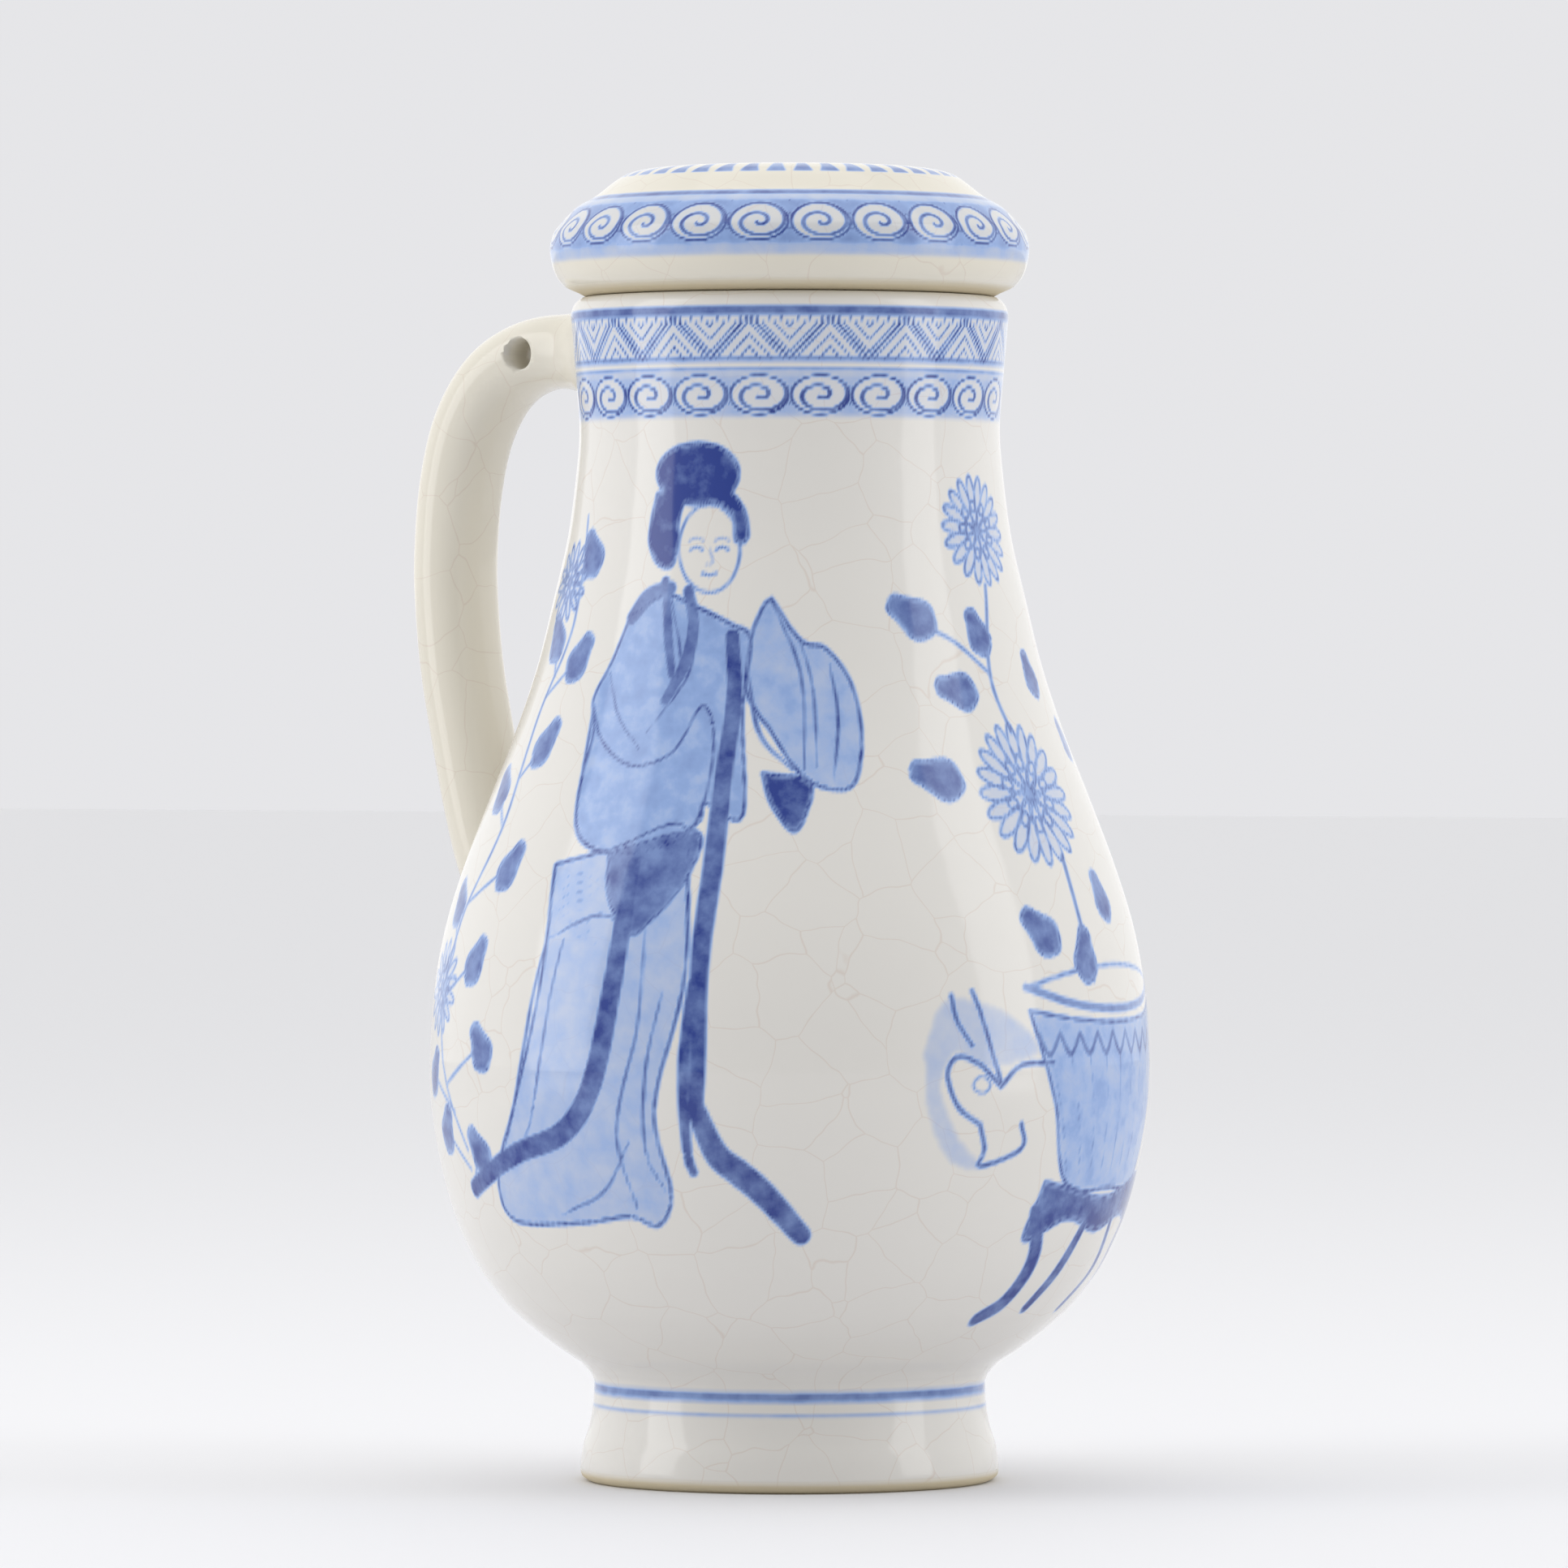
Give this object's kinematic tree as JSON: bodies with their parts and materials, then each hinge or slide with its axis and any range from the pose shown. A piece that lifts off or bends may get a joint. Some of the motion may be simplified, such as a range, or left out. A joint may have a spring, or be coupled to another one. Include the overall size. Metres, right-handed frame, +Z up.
{
  "type": "covered porcelain jar",
  "caption": "Covered porcelain jar with a strap handle, a turned foot ring and a domed lid that lifts off, painted in underglaze blue.",
  "frame": {"origin": "on the surface the jar stands on, under the middle of its overall outline", "axes": "+Z up along the jar's axis, -X towards the handle, +Y to the side"},
  "size_m": [0.0846, 0.0772, 0.1406],
  "materials": {
    "body_glaze": "gloss",
    "handle_glaze": "gloss",
    "lid_glaze": "gloss"
  },
  "bodies": {
    "jar": {"lower_body": "body_glaze", "upper_body": "body_glaze", "handle": "handle_glaze"},
    "lid": {"lid": "lid_glaze"}
  },
  "joints": [
    {"name": "lid_lift", "type": "slide", "parent": "jar", "child": "lid", "axis": [0, 0, 1], "range_m": [0, 0.035]}
  ]
}
